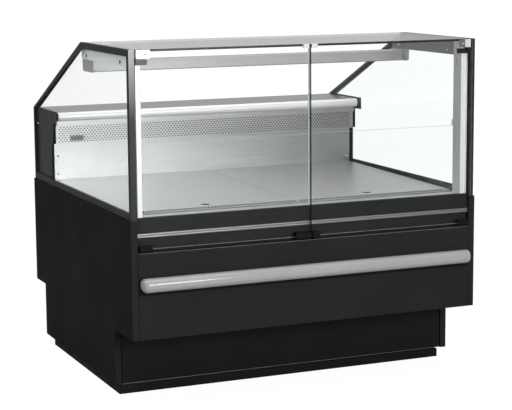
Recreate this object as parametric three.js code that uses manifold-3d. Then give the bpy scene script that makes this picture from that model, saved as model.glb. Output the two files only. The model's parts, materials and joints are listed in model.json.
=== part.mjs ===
// Refrigerated deli case with a flat glass front, 1.35 m wide.
// Millimetres. +Z is up, +X is to the customer's right, +Y points at the operator.
// The drawing datum is the face of the lower front panel; the whole case is then
// moved so that the origin lies on the floor under the middle of its footprint.

import * as THREE from "three";
import { mergeVertices } from "three/addons/utils/BufferGeometryUtils.js";
import Module from "manifold-3d";

const wasm = await Module();
wasm.setup();

// ---------- driving dimensions ----------

const GAP = 0.3;

const CASE_HALF = 675;
const PANEL = 25;
const INNER = CASE_HALF - PANEL;
const BAY = INNER - 0.5;

const BODY_BACK = 1200;
const BODY_LOW = 237;
const BODY_TOP = 654;
const PLINTH_FRONT = 202;
const PLINTH_BACK = 1077;
const FOOT = 31.4;
const BUMPER_OUT = 47;

const DATUM_Y = (BODY_BACK - BUMPER_OUT) / 2;

const GLASS_TOP = 1236;
const SHOULDER = 943;
const ROOF_BACK = 541;
const GLASS_FRONT = 4.5;
const GLASS_BACK = 1197;
const UNIT_OUT = 670;

const SHEET = 2;
const PANEL_TOP = 541;
const BAND_TOP = 662;
const TRIM_LOW = 593;
const TRIM_TOP = 609;
const BAND_BACK = 29.7;

const TUB_LOW = 300;
const TUB_TOP = 656;
const TUB_WALL = 40;

const DECK_FRONT = 107;
const DECK_BACK = 984;
const DECK_RISE = 9;
const DECK_THICK = 3;

const WALL_Y = 985;
const GRILLE_Y = 954.5;
const GRILLE_LOW = 816;
const GRILLE_TOP = 886;
const NOSE_Y = 911;
const TOP_LOW = 908;
const TOP_HIGH = 942;
const PANEL_Y = 1188;

const POST_IN = 623;
const POST_OUT = 644;
const POST_FRONT = 20;
const POST_BACK = 78;
const RAIL_LOW = 1172;
const ROOF_LOW = 1228;

const LAMP_LOW = 1127.5;
const LAMP_TOP = 1168;
const LAMP_FRONT = 498;
const LAMP_BACK = 575;

const DOOR_LOW = 555;
const DOOR_TOP = 1234.5;
const DOOR_EDGE = 645.5;
const DOOR_MEET = 2;
const PANE = 3;
const PIVOT_X = 640;

const FAN_AXIS_X = -390;
const FAN_AXIS_Z = 152;
const CHILL_AXIS_Z = 420;

// ---------- finishes ----------

const FINISH = {
  black_panel: [0x1c1d1e, 0.45, 0.3],
  black_matt: [0x131414, 0.7, 0.1],
  stainless: [0xc2c3c4, 0.32, 0.95],
  aluminium: [0xb6b8b9, 0.38, 0.9],
  bumper_grey: [0xb4b6b8, 0.4, 0.0],
  cap_grey: [0x8f9193, 0.5, 0.0],
  clear_glass: [0xeaf6f4, 0.03, 0.0],
  insulated_glass: [0xdfeeee, 0.05, 0.0],
  pale_top: [0xc6c8c9, 0.12, 0.1],
  clamp_chrome: [0xe2e3e4, 0.15, 1.0],
  hinge_black: [0x1a1a1b, 0.5, 0.2],
  lamp_grey: [0xc4c5c6, 0.4, 0.5],
  lamp_white: [0xffffff, 0.3, 0.0],
  foam_white: [0xe8e8e4, 0.7, 0.0],
  galvanised: [0xa2a5a6, 0.5, 0.8],
  compressor_black: [0x101112, 0.35, 0.4],
  fin_metal: [0xc8cacb, 0.4, 0.9],
  fan_plastic: [0x242628, 0.5, 0.0],
  switch_black: [0x0e0e0f, 0.35, 0.0],
  button_grey: [0x6d7073, 0.5, 0.0],
};

// ---------- shape helpers ----------

function extrude(points, length, bevel) {
  const shape = new THREE.Shape(points.map((p) => new THREE.Vector2(p[0], p[1])));
  return new THREE.ExtrudeGeometry(shape, {
    depth: length - 2 * bevel,
    steps: 1,
    bevelEnabled: bevel > 0,
    bevelThickness: bevel,
    bevelSize: bevel,
    bevelOffset: -bevel,
    bevelSegments: 1,
    curveSegments: 1,
  }).translate(0, 0, bevel);
}

// A profile given as [y, z] pairs, run along X.
function alongX(points, x0, x1, bevel = 0) {
  const turn = new THREE.Matrix4().makeBasis(
    new THREE.Vector3(0, 1, 0),
    new THREE.Vector3(0, 0, 1),
    new THREE.Vector3(1, 0, 0),
  );
  return extrude(points, x1 - x0, bevel).applyMatrix4(turn).translate(x0, 0, 0);
}

// A profile given as [x, z] pairs, run along Y.
function alongY(points, y0, y1, bevel = 0) {
  return extrude(points, y1 - y0, bevel).rotateX(Math.PI / 2).translate(0, y1, 0);
}

// A profile given as [x, y] pairs, run along Z.
function alongZ(points, z0, z1, bevel = 0) {
  return extrude(points, z1 - z0, bevel).translate(0, 0, z0);
}

function rectangle(a0, b0, a1, b1) {
  return [[a0, b0], [a1, b0], [a1, b1], [a0, b1]];
}

// A rectangle whose four corners take their own radii, from the low-low corner round.
function rounded(a0, b0, a1, b1, radii, steps = 4) {
  const corners = [
    [a0, b0, 1, 1, 180],
    [a1, b0, -1, 1, 270],
    [a1, b1, -1, -1, 0],
    [a0, b1, 1, -1, 90],
  ];
  const points = [];
  corners.forEach(([a, b, da, db, start], i) => {
    const r = radii[i];
    if (r === 0) {
      points.push([a, b]);
      return;
    }
    for (let k = 0; k <= steps; k += 1) {
      const angle = ((start + (90 * k) / steps) * Math.PI) / 180;
      points.push([a + da * r + r * Math.cos(angle), b + db * r + r * Math.sin(angle)]);
    }
  });
  return points;
}

function disc(a, b, radius, sides) {
  const points = [];
  for (let k = 0; k < sides; k += 1) {
    const angle = (2 * Math.PI * k) / sides;
    points.push([a + radius * Math.cos(angle), b + radius * Math.sin(angle)]);
  }
  return points;
}

function block(x0, x1, y0, y1, z0, z1, bevel = 0) {
  return alongZ(rectangle(x0, y0, x1, y1), z0, z1, bevel);
}

function rodY(x, z, radius, y0, y1, sides = 20) {
  return alongY(disc(x, z, radius, sides), y0, y1);
}

function flipX(geometry) {
  const flipped = mergeVertices(bare(geometry));
  flipped.scale(-1, 1, 1);
  const index = flipped.index;
  for (let i = 0; i < index.count; i += 3) {
    const first = index.getX(i);
    index.setX(i, index.getX(i + 1));
    index.setX(i + 1, first);
  }
  return flipped;
}

function bare(geometry) {
  const copy = geometry.clone();
  copy.deleteAttribute("normal");
  copy.deleteAttribute("uv");
  return copy;
}

function solid(geometry) {
  const merged = mergeVertices(bare(geometry), 1e-4);
  return new wasm.Manifold(
    new wasm.Mesh({
      numProp: 3,
      vertProperties: new Float32Array(merged.attributes.position.array),
      triVerts: new Uint32Array(merged.index.array),
    }),
  );
}

function fromSolid(body) {
  const mesh = body.getMesh();
  const geometry = new THREE.BufferGeometry();
  geometry.setAttribute("position", new THREE.BufferAttribute(mesh.vertProperties, 3));
  geometry.setIndex(new THREE.BufferAttribute(mesh.triVerts, 1));
  return geometry;
}

function joined(...parts) {
  return fromSolid(parts.map(solid).reduce((a, b) => a.add(b)));
}

function without(base, ...cuts) {
  return fromSolid(cuts.map(solid).reduce((a, b) => a.subtract(b), solid(base)));
}

// Cross sections of equal length, each a ring of [x, y, z], skinned and closed at both ends.
function loft(rings) {
  const count = rings[0].length;
  const positions = rings.flat(2);
  const index = [];
  for (let i = 0; i + 1 < rings.length; i += 1) {
    for (let k = 0; k < count; k += 1) {
      const a = i * count + k;
      const b = i * count + ((k + 1) % count);
      index.push(a, b, b + count, a, b + count, a + count);
    }
  }
  const last = (rings.length - 1) * count;
  for (let k = 1; k + 1 < count; k += 1) {
    index.push(0, k + 1, k);
    index.push(last, last + k, last + k + 1);
  }
  const geometry = new THREE.BufferGeometry();
  geometry.setAttribute("position", new THREE.Float32BufferAttribute(positions, 3));
  geometry.setIndex(index);
  return geometry;
}

// ---------- assembly ----------

const assembly = new THREE.Group();
assembly.name = "refrigerated_deli_case";

function add(name, finish, geometry) {
  const [color, roughness, metalness] = FINISH[finish];
  const material = new THREE.MeshStandardMaterial({ color, roughness, metalness });
  material.name = finish;
  if (finish === "lamp_white") {
    material.emissive = new THREE.Color(0xffffff);
    material.emissiveIntensity = 0.6;
  }
  const merged = mergeVertices(bare(geometry), 1e-4);
  merged.translate(0, -DATUM_Y, 0);
  merged.computeVertexNormals();
  const mesh = new THREE.Mesh(merged, material);
  mesh.name = name;
  assembly.add(mesh);
}

// The same piece at both ends: drawn on the customer's right and mirrored to the left.
function addPair(leftName, rightName, finish, geometry) {
  add(leftName, finish, flipX(geometry));
  add(rightName, finish, geometry);
}

// ---------- base, plinth and body ----------

const BASE_HIGH = 31;
const BASE_LEFT = -662;
const BASE_RIGHT = 632;
const BASE_FRONT = 194;
const BASE_BACK = 1007;
const BASE_TUBE = 30;
add("base_frame", "black_matt", without(
  block(BASE_LEFT, BASE_RIGHT, BASE_FRONT, BASE_BACK, 0, BASE_HIGH),
  block(
    BASE_LEFT + BASE_TUBE,
    BASE_RIGHT - BASE_TUBE,
    BASE_FRONT + BASE_TUBE,
    BASE_BACK - BASE_TUBE,
    -5,
    BASE_HIGH + 5,
  ),
));

const TRAY_TOP = 34.3;
add("machine_tray", "galvanised", block(-BAY, BAY, 210, PLINTH_BACK - 3, FOOT, TRAY_TOP));

const endOutline = [
  [0, BODY_LOW],
  [PLINTH_FRONT, BODY_LOW],
  [PLINTH_FRONT, FOOT],
  [PLINTH_BACK, FOOT],
  [PLINTH_BACK, BODY_LOW],
  [BODY_BACK, BODY_LOW],
  [BODY_BACK, BODY_TOP],
  [0, BODY_TOP],
];
addPair(
  "end_panel_left",
  "end_panel_right",
  "black_panel",
  alongX(endOutline, INNER, CASE_HALF, 1.2),
);

const KICK_Y = 205;
const KICK_LOW = TRAY_TOP + GAP;
const KICK_TOP = BODY_LOW - GAP;
add("kick_plate", "black_panel", alongX([
  [KICK_Y, KICK_LOW],
  [KICK_Y + 20, KICK_LOW],
  [KICK_Y + 20, KICK_LOW + SHEET],
  [KICK_Y + SHEET, KICK_LOW + SHEET],
  [KICK_Y + SHEET, KICK_TOP - SHEET],
  [KICK_Y + 20, KICK_TOP - SHEET],
  [KICK_Y + 20, KICK_TOP],
  [KICK_Y, KICK_TOP],
], -BAY + 2, BAY - 2));

const ventSlots = [];
for (const bank of [-390, 0, 390]) {
  for (let row = 0; row < 6; row += 1) {
    const z = 72 + row * 24;
    const slot = rounded(bank - 110, z, bank + 110, z + 9, [4, 4, 4, 4], 1);
    ventSlots.push(alongY(slot, PLINTH_BACK - 10, PLINTH_BACK + 10));
  }
}
add("rear_vent_panel", "black_panel", without(
  block(-BAY, BAY, PLINTH_BACK - SHEET, PLINTH_BACK, KICK_LOW, KICK_TOP),
  ...ventSlots,
));

add("lower_front_panel", "black_panel", alongX([
  [0, BODY_LOW],
  [PLINTH_FRONT + 2, BODY_LOW],
  [PLINTH_FRONT + 2, BODY_LOW + SHEET],
  [SHEET, BODY_LOW + SHEET],
  [SHEET, PANEL_TOP - SHEET],
  [BAND_BACK, PANEL_TOP - SHEET],
  [BAND_BACK, PANEL_TOP],
  [1.5, PANEL_TOP],
  [0, PANEL_TOP - 1.5],
], -BAY, BAY));

add("rear_body_panel", "black_panel", alongX([
  [BODY_BACK, BODY_LOW],
  [BODY_BACK, BODY_TOP],
  [1182, BODY_TOP],
  [1182, BODY_TOP - SHEET],
  [BODY_BACK - SHEET, BODY_TOP - SHEET],
  [BODY_BACK - SHEET, BODY_LOW + SHEET],
  [PLINTH_BACK + 2, BODY_LOW + SHEET],
  [PLINTH_BACK + 2, BODY_LOW],
], -BAY, BAY));

// ---------- front band, trim and bumper ----------

const RECESS_Y = 20;
const UPPER_BAND_Y = 12;
add("front_band", "black_panel", alongX([
  [RECESS_Y, PANEL_TOP + GAP],
  [BAND_BACK, PANEL_TOP + GAP],
  [BAND_BACK, BAND_TOP],
  [UPPER_BAND_Y + 1.5, BAND_TOP],
  [UPPER_BAND_Y, BAND_TOP - 1.5],
  [UPPER_BAND_Y, TRIM_TOP + GAP],
  [RECESS_Y, TRIM_TOP + GAP],
], -BAY, BAY));

add("trim_strip", "aluminium", alongX([
  [RECESS_Y - GAP, TRIM_LOW],
  [RECESS_Y - GAP, TRIM_TOP],
  [9.5, TRIM_TOP],
  [7.5, TRIM_TOP - 2],
  [7.5, TRIM_LOW + 5],
  [9.5, TRIM_LOW],
], -BAY, BAY));

const BUMPER_Z = 433;
const BUMPER_HALF = 25.5;
const BUMPER_FACE = -GAP;
const BUMPER_JOINT = 605;
const BUMPER_END = 645;
const BUMPER_DOME = 26;

// The bumper's section: a flat back against the panel and a full round nose.
function bumperSection(scale = 1) {
  const points = [[BUMPER_FACE, BUMPER_Z - 21 * scale], [BUMPER_FACE, BUMPER_Z + 21 * scale]];
  const centre = BUMPER_FACE + (-BUMPER_OUT + BUMPER_HALF - BUMPER_FACE) * scale;
  for (let k = 0; k <= 12; k += 1) {
    const angle = ((90 + 15 * k) * Math.PI) / 180;
    points.push([
      centre + BUMPER_HALF * scale * Math.cos(angle),
      BUMPER_Z + BUMPER_HALF * scale * Math.sin(angle),
    ]);
  }
  return points;
}

add("bumper_bar", "bumper_grey", alongX(
  bumperSection(),
  -BUMPER_JOINT,
  BUMPER_JOINT,
));

const capRings = [bumperSection().map(([y, z]) => [BUMPER_JOINT + GAP, y, z])];
for (let k = 0; k <= 6; k += 1) {
  const turn = (k * 13.4 * Math.PI) / 180;
  const x = BUMPER_END - BUMPER_DOME * (1 - Math.sin(turn));
  capRings.push(bumperSection(Math.cos(turn)).map(([y, z]) => [x, y, z]));
}
addPair(
  "bumper_cap_left",
  "bumper_cap_right",
  "bumper_grey",
  loft(capRings),
);

// ---------- cold well and display deck ----------

const TUB_SIDE = 645;
const TUB_FRONT = 30.3;
const TUB_BACK = 1180;
const TUB_CORNER = 30;
const wellOutline = rounded(
  -TUB_SIDE + TUB_WALL,
  TUB_FRONT + TUB_WALL,
  TUB_SIDE - TUB_WALL,
  TUB_BACK - TUB_WALL,
  [TUB_CORNER, TUB_CORNER, TUB_CORNER, TUB_CORNER],
  3,
);
add("insulated_tub", "foam_white", without(
  block(-TUB_SIDE, TUB_SIDE, TUB_FRONT, TUB_BACK, TUB_LOW, TUB_TOP),
  alongZ(wellOutline, TUB_LOW + TUB_WALL, TUB_TOP + 10),
));

add("front_sill", "stainless", alongX([
  [BAND_BACK + GAP, TUB_TOP + GAP],
  [DECK_FRONT + 18, TUB_TOP + GAP],
  [DECK_FRONT + 18, BAND_TOP - DECK_THICK - GAP],
  [DECK_FRONT - GAP, BAND_TOP - DECK_THICK - GAP],
  [DECK_FRONT - GAP, BAND_TOP],
  [BAND_BACK + GAP, BAND_TOP],
], -BAY, BAY));

const HOLE_PITCH = 12.8;
const HOLE_RADIUS = 2.2;
const HOLE_COUNT = 46;
const FINGER_HOLE_X = 325;
const deckSlope = Math.atan2(DECK_RISE, DECK_BACK - DECK_FRONT);
const deckLength = (DECK_BACK - DECK_FRONT) / Math.cos(deckSlope);
const deckHoles = [alongZ(disc(FINGER_HOLE_X, 89, 17, 16), -10, 10)];
for (let k = 0; k < HOLE_COUNT; k += 1) {
  deckHoles.push(alongZ(disc(590 - HOLE_PITCH * k, 10, HOLE_RADIUS, 6), -10, 10));
}
const deckPlate = without(
  block(0.8, BAY - 1, 0, deckLength, -DECK_THICK, 0),
  ...deckHoles,
).rotateX(deckSlope).translate(0, DECK_FRONT, BAND_TOP);
addPair("deck_plate_left", "deck_plate_right", "stainless", deckPlate);

const LOW_PANE_Y = 82;
const LOW_PANE_TOP = 911;
add("inner_glass", "clear_glass", block(
  -BAY + 1,
  BAY - 1,
  LOW_PANE_Y,
  LOW_PANE_Y + 6,
  BAND_TOP + GAP,
  LOW_PANE_TOP,
));

// ---------- rear wall, air grille, worktop and operator side ----------

const FOOT_TOP = 667.3;
add("rear_wall", "stainless", alongX([
  [WALL_Y, GRILLE_LOW - GAP],
  [WALL_Y, FOOT_TOP],
  [960, FOOT_TOP],
  [960, FOOT_TOP - SHEET],
  [WALL_Y + SHEET, FOOT_TOP - SHEET],
  [WALL_Y + SHEET, GRILLE_LOW - GAP],
], -BAY, BAY));

const DUCT_BACK = WALL_Y - GAP;
const STEP_Y = 943;
add("air_grille", "stainless", alongX([
  [DUCT_BACK, GRILLE_LOW],
  [DUCT_BACK, GRILLE_LOW + SHEET],
  [GRILLE_Y + SHEET, GRILLE_LOW + SHEET],
  [GRILLE_Y + SHEET, GRILLE_TOP + SHEET],
  [STEP_Y + SHEET, GRILLE_TOP + SHEET],
  [STEP_Y + SHEET, TOP_LOW - GAP - SHEET],
  [DUCT_BACK, TOP_LOW - GAP - SHEET],
  [DUCT_BACK, TOP_LOW - GAP],
  [STEP_Y, TOP_LOW - GAP],
  [STEP_Y, GRILLE_TOP],
  [GRILLE_Y, GRILLE_TOP],
  [GRILLE_Y, GRILLE_LOW],
], -BAY, BAY));

add("temperature_plate", "cap_grey", alongY(
  rounded(-592, 826.5, -537, 846.5, [2, 2, 2, 2], 2),
  GRILLE_Y - GAP - 3,
  GRILLE_Y - GAP,
  0.5,
));

const NOSE_RADIUS = (TOP_HIGH - TOP_LOW) / 2;
const TOP_BACK = 1192;
const topSection = [[TOP_BACK, TOP_LOW], [TOP_BACK, TOP_HIGH]];
for (let k = 0; k <= 12; k += 1) {
  const angle = ((90 + 15 * k) * Math.PI) / 180;
  topSection.push([
    NOSE_Y + NOSE_RADIUS + NOSE_RADIUS * Math.cos(angle),
    TOP_LOW + NOSE_RADIUS + NOSE_RADIUS * Math.sin(angle),
  ]);
}
add("worktop", "stainless", alongX(topSection, -BAY, BAY));

add("operator_panel", "stainless", alongX([
  [1160, TUB_TOP + GAP],
  [PANEL_Y, TUB_TOP + GAP],
  [PANEL_Y, TOP_LOW - GAP],
  [1160, TOP_LOW - GAP],
  [1160, TOP_LOW - GAP - SHEET],
  [PANEL_Y - SHEET, TOP_LOW - GAP - SHEET],
  [PANEL_Y - SHEET, TUB_TOP + GAP + SHEET],
  [1160, TUB_TOP + GAP + SHEET],
], -BAY, BAY));

// ---------- glass housing ----------

addPair("side_glass_left", "side_glass_right", "insulated_glass", alongX([
  [GLASS_FRONT, BODY_TOP + GAP],
  [GLASS_BACK, BODY_TOP + GAP],
  [GLASS_BACK, SHOULDER],
  [ROOF_BACK, GLASS_TOP],
  [GLASS_FRONT, GLASS_TOP],
], INNER, UNIT_OUT, 0.6));

const LUG_LOW = 912;
const LUG_HIGH = 934;
addPair("corner_post_left", "corner_post_right", "aluminium", joined(
  alongZ(
    rounded(POST_IN, POST_FRONT, POST_OUT, POST_BACK, [2, 2, 2, 2], 2),
    BAND_TOP + GAP,
    ROOF_LOW - GAP,
  ),
  block(POST_IN, POST_IN + 9, POST_BACK - 2, POST_BACK + 8, LUG_LOW, LUG_HIGH),
));

const railSection = [
  [POST_BACK + GAP, RAIL_LOW],
  ...[0, 1, 2, 3, 4].map((k) => {
    const angle = ((270 + 22.5 * k) * Math.PI) / 180;
    return [580 + 10 * Math.cos(angle), RAIL_LOW + 10 + 10 * Math.sin(angle)];
  }),
  [590, 1205],
  [556, ROOF_LOW - GAP],
  [POST_BACK + GAP, ROOF_LOW - GAP],
];
addPair(
  "side_rail_left",
  "side_rail_right",
  "aluminium",
  alongX(railSection, 640, BAY),
);

add("roof_glass", "pale_top", block(-BAY, BAY, 9, ROOF_BACK, ROOF_LOW, GLASS_TOP, 0.8));

const LAMP_LIP = 15;
const LAMP_POCKET = 5.5;
add("lamp_housing", "lamp_grey", alongX([
  [LAMP_FRONT + 3, LAMP_LOW],
  [LAMP_FRONT + LAMP_LIP, LAMP_LOW],
  [LAMP_FRONT + LAMP_LIP, LAMP_LOW + LAMP_POCKET],
  [LAMP_BACK - LAMP_LIP, LAMP_LOW + LAMP_POCKET],
  [LAMP_BACK - LAMP_LIP, LAMP_LOW],
  [LAMP_BACK - 3, LAMP_LOW],
  [LAMP_BACK, LAMP_LOW + 3],
  [LAMP_BACK, LAMP_TOP - 3],
  [LAMP_BACK - 3, LAMP_TOP],
  [LAMP_FRONT + 3, LAMP_TOP],
  [LAMP_FRONT, LAMP_TOP - 3],
  [LAMP_FRONT, LAMP_LOW + 3],
], -639.7, 639.7));

add("lamp_diffuser", "lamp_white", block(
  -639,
  639,
  LAMP_FRONT + LAMP_LIP + GAP,
  LAMP_BACK - LAMP_LIP - GAP,
  LAMP_LOW + 0.5,
  LAMP_LOW + LAMP_POCKET - GAP,
));

addPair("lamp_end_left", "lamp_end_right", "lamp_grey", alongX(
  rounded(462, LAMP_LOW, 590, RAIL_LOW - GAP, [14, 14, 0, 0]),
  640,
  647.5,
));

// ---------- front doors ----------

const CLAMP_LOW = 1206;
const CLAMP_IN = 598;
const CUT_X = 628;
const NOTCH_LOW = 1187;
const BLOCK_LOW = 546;
const BLOCK_TOP = 568;
const BLOCK_IN = 598;

const doorOutline = [
  [DOOR_MEET, DOOR_LOW],
  [CUT_X, DOOR_LOW],
  [CUT_X, BLOCK_TOP + GAP],
  [DOOR_EDGE, BLOCK_TOP + GAP],
  [DOOR_EDGE, NOTCH_LOW],
  [CUT_X, NOTCH_LOW],
  [CUT_X, DOOR_TOP],
  [DOOR_MEET, DOOR_TOP],
];
addPair("door_left_glass", "door_right_glass", "clear_glass", alongY(
  doorOutline,
  -PANE,
  PANE,
  0.6,
));

// A patch fitting grips both faces of the glass and fills its cut corner, as seen from above.
function patch(inner, front, back) {
  const face = PANE + GAP;
  return [
    [inner, front + 1.5],
    [inner + 1.5, front],
    [DOOR_EDGE - 1.5, front],
    [DOOR_EDGE, front + 1.5],
    [DOOR_EDGE, back],
    [inner, back],
    [inner, face],
    [CUT_X + GAP, face],
    [CUT_X + GAP, -face],
    [inner, -face],
  ];
}

addPair(
  "door_left_top_clamp",
  "door_right_top_clamp",
  "clamp_chrome",
  alongZ(patch(CLAMP_IN, -7, 6.3), CLAMP_LOW, DOOR_TOP),
);

addPair("door_left_foot_clamp", "door_right_foot_clamp", "hinge_black", joined(
  alongZ(patch(BLOCK_IN, -7, 6.3), BLOCK_LOW, BLOCK_TOP),
  alongZ(disc(PIVOT_X, 0, 4, 16), PANEL_TOP + GAP, BLOCK_LOW + 1),
));

// Finger grips wrap the lower meeting corner of each pane.
function gripSection() {
  return [
    [-PANE - GAP, 571],
    [-PANE - GAP, DOOR_LOW - GAP],
    [PANE + GAP, DOOR_LOW - GAP],
    [PANE + GAP, 571],
    [8, 571],
    [9, 549],
    [7, 547.5],
    [-11, 547.5],
    [-14, 550],
    [-12, 568],
    [-9, 571],
  ];
}
add("door_left_grip", "hinge_black", alongX(gripSection(), -62, -DOOR_MEET - 1));
add("door_right_grip", "hinge_black", alongX(gripSection(), DOOR_MEET + 1, 34));

const clipSection = [
  [-PANE - GAP, 1222],
  [-PANE - GAP, DOOR_TOP + GAP],
  [PANE + GAP, DOOR_TOP + GAP],
  [PANE + GAP, 1222],
  [5.5, 1222],
  [5.5, 1237],
  [-5.5, 1237],
  [-5.5, 1222],
];
addPair(
  "door_left_clip",
  "door_right_clip",
  "clamp_chrome",
  alongX(clipSection, DOOR_MEET + 3, 27),
);

addPair("hinge_bracket_left", "hinge_bracket_right", "hinge_black", joined(
  block(602, 646, 7.5, POST_FRONT - GAP, 1183, 1201),
  block(634, 646, -6, POST_FRONT - GAP, 1191, CLAMP_LOW - GAP),
));

// ---------- refrigeration ----------

// A finned coil block: grooves run down both faces and a motor stands on the front one.
function coil(x0, x1, y0, y1, z0, z1, pitch, axisX, axisZ, motorRadius, motorFront) {
  const depth = 16;
  const groove = pitch * 0.45;
  const outline = [];
  const count = Math.floor((x1 - x0) / pitch);
  for (let k = 0; k < count; k += 1) {
    const x = x0 + pitch * k + pitch * 0.3;
    outline.push([x0 + pitch * k, y0], [x, y0]);
    if (Math.abs(x - axisX) > motorRadius + pitch) {
      outline.push([x, y0 + depth], [x + groove, y0 + depth], [x + groove, y0]);
    }
  }
  outline.push([x1, y0], [x1, y1]);
  for (let k = count - 1; k >= 0; k -= 1) {
    const x = x0 + pitch * k + pitch * 0.3;
    outline.push([x + groove, y1], [x + groove, y1 - depth], [x, y1 - depth], [x, y1]);
  }
  outline.push([x0, y1]);
  return joined(
    alongZ(outline, z0, z1),
    rodY(axisX, axisZ, motorRadius, motorFront, y0 + 6),
  );
}

// A fan wheel turning about Y: a hub and pitched blades.
function fanWheel(x, z, y0, y1, hub, tip, blades) {
  const depth = y1 - y0;
  const parts = [rodY(0, 0, hub, 0, depth)];
  for (let k = 0; k < blades; k += 1) {
    const blade = new THREE.BoxGeometry(tip * 0.62, 2.4, tip - hub + 4);
    blade.rotateZ(0.42);
    blade.translate(0, depth / 2, (tip + hub) / 2 - 2);
    blade.rotateY((2 * Math.PI * k) / blades);
    parts.push(blade);
  }
  return joined(...parts).translate(x, y0, z);
}

add("condenser", "fin_metal", coil(
  -560, -220, 990, 1040, TRAY_TOP + GAP, 268, 14, FAN_AXIS_X, FAN_AXIS_Z, 30, 950,
));
add("condenser_fan", "fan_plastic", fanWheel(FAN_AXIS_X, FAN_AXIS_Z, 918, 949.5, 26, 92, 5));

const shell = [
  [0, 46], [62, 46], [78, 56], [86, 76], [88, 118], [90, 120], [90, 126], [87, 128],
  [84, 170], [72, 200], [46, 218], [0, 224],
].map((p) => new THREE.Vector2(p[0], p[1]));
const dome = new THREE.LatheGeometry([...shell, shell[0].clone()], 28).rotateX(Math.PI / 2);
add("compressor", "compressor_black", joined(
  dome.translate(60, 820, 0),
  block(-50, 170, 745, 895, TRAY_TOP + GAP, 48),
  block(148, 176, 795, 845, 110, 170),
));

add("evaporator", "fin_metal", coil(
  -300, 300, 660, 790, TUB_LOW + TUB_WALL + GAP, 500, 20, 0, CHILL_AXIS_Z, 24, 622,
));
add("evaporator_fan", "fan_plastic", fanWheel(0, CHILL_AXIS_Z, 590, 621.5, 22, 70, 5));

// ---------- controls and cable entry on the operator side ----------

const CONTROL_LOW = 770;
const CONTROL_HIGH = 838;
const CONTROL_X0 = 300;
const CONTROL_X1 = 520;
const FACE_Y = PANEL_Y + GAP;
const BEZEL_OUT = 1196.3;
const SWITCH_Z = 804;
const SWITCHES = { power_switch: 448, light_switch: 488 };
const BUTTONS = { button_up: 398, button_down: 418 };

const bezelHoles = [block(312, 382, BEZEL_OUT - 1.5, BEZEL_OUT + 5, 786, 822)];
for (const x of Object.values(SWITCHES)) {
  bezelHoles.push(block(x - 9, x + 9, FACE_Y - 5, BEZEL_OUT + 5, SWITCH_Z - 15, SWITCH_Z + 15));
}
for (const x of Object.values(BUTTONS)) {
  bezelHoles.push(alongY(
    rounded(x - 7, SWITCH_Z - 6, x + 7, SWITCH_Z + 6, [2, 2, 2, 2], 2),
    FACE_Y - 5,
    BEZEL_OUT + 5,
  ));
}
add("control_panel", "switch_black", without(
  alongY(
    rounded(CONTROL_X0, CONTROL_LOW, CONTROL_X1, CONTROL_HIGH, [5, 5, 5, 5], 3),
    FACE_Y,
    BEZEL_OUT,
  ),
  ...bezelHoles,
));

// Each rocker leans out at the top at rest, its off position.
const ROCKER_TURN = -0.12;
for (const [name, x] of Object.entries(SWITCHES)) {
  const rocker = alongX([
    [-2.5, -9],
    [3.4, -14],
    [1.8, 0],
    [3.4, 14],
    [-2.5, 9],
  ], x - 8.3, x + 8.3);
  rocker.rotateX(ROCKER_TURN);
  add(name, "switch_black", rocker.translate(0, 1193, SWITCH_Z));
}

for (const [name, x] of Object.entries(BUTTONS)) {
  add(name, "button_grey", alongY(
    rounded(x - 6.4, SWITCH_Z - 5.4, x + 6.4, SWITCH_Z + 5.4, [1.8, 1.8, 1.8, 1.8], 2),
    1191,
    1197.5,
    0.4,
  ));
}

add("cable_gland", "hinge_black", joined(
  alongY(disc(560, 80, 13, 6), PLINTH_BACK + GAP, PLINTH_BACK + 8),
  rodY(560, 80, 9, PLINTH_BACK + 6, PLINTH_BACK + 20, 16),
));

export default assembly;
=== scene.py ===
import json
import math

import bmesh
import bpy
from mathutils import Matrix, Vector


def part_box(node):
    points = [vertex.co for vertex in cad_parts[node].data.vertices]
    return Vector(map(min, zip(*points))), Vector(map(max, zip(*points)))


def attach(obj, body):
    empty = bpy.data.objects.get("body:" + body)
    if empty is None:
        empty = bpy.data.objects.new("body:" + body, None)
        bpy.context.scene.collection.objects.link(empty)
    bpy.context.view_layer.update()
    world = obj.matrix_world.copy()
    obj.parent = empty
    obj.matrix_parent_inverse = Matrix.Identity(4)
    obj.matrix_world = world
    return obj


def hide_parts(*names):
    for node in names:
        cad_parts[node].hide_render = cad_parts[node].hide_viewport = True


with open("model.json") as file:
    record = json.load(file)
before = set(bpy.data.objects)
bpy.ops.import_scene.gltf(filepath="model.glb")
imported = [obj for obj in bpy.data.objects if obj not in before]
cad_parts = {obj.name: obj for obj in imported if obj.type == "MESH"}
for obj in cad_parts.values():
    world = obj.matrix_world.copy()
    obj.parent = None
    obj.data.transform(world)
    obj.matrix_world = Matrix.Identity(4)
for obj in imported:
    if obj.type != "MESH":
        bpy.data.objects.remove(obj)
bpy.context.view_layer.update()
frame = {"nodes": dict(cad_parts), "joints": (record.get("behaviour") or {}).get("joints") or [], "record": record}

CASE = "case"
scene = bpy.context.scene


# ---------- materials ----------

def noise_at(made, size, stretch=(1, 1, 1), detail=3.0):
    """Noise in the frame's metres. size is one feature's width, and stretch how many times longer
    it is along each axis."""
    nodes, links = made.node_tree.nodes, made.node_tree.links
    where = nodes.new("ShaderNodeTexCoord")
    scaled = nodes.new("ShaderNodeMapping")
    scaled.inputs["Scale"].default_value = [1 / (size * s) for s in stretch]
    noise = nodes.new("ShaderNodeTexNoise")
    noise.inputs["Scale"].default_value = 1.0
    noise.inputs["Detail"].default_value = detail
    links.new(where.outputs["Object"], scaled.inputs["Vector"])
    links.new(scaled.outputs["Vector"], noise.inputs["Vector"])
    return noise.outputs["Fac"]


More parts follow.
